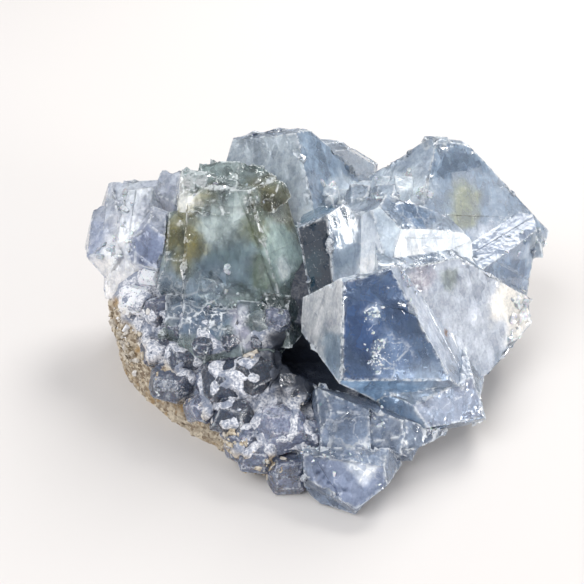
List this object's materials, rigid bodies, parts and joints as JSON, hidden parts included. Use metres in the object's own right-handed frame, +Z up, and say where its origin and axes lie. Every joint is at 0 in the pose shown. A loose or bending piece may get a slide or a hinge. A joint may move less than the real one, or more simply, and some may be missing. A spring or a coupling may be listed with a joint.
{
  "type": "celestite specimen",
  "caption": "Cluster of large blocky pale blue celestite crystals, with a see-through green one, on a lump of granular matrix rock.",
  "frame": {"origin": "under the middle of the specimen's box, on the plane that it stands on", "axes": "+Z up, +X to the right along the longest side, +Y to the back; the front looks along -Y"},
  "size_m": [0.1314, 0.094, 0.0611],
  "materials": {
    "matrix": "granular tan limestone under a white sugary crust, with small grey-blue crystals",
    "blue_celestite": "glassy crystal faces, pale blue to dark blue, part clear and part clouded",
    "green_celestite": "glassy see-through crystal, grey-green with olive at the top",
    "pale_celestite": "clouded pale lilac-blue crystal",
    "front_celestite": "clouded pale blue crystal with white veins"
  },
  "bodies": {
    "root": {"matrix_rock": "matrix", "main_crystal_group": "blue_celestite", "green_crystal": "green_celestite", "left_crystal_group": "pale_celestite", "front_crystal_group": "front_celestite"}
  },
  "joints": []
}
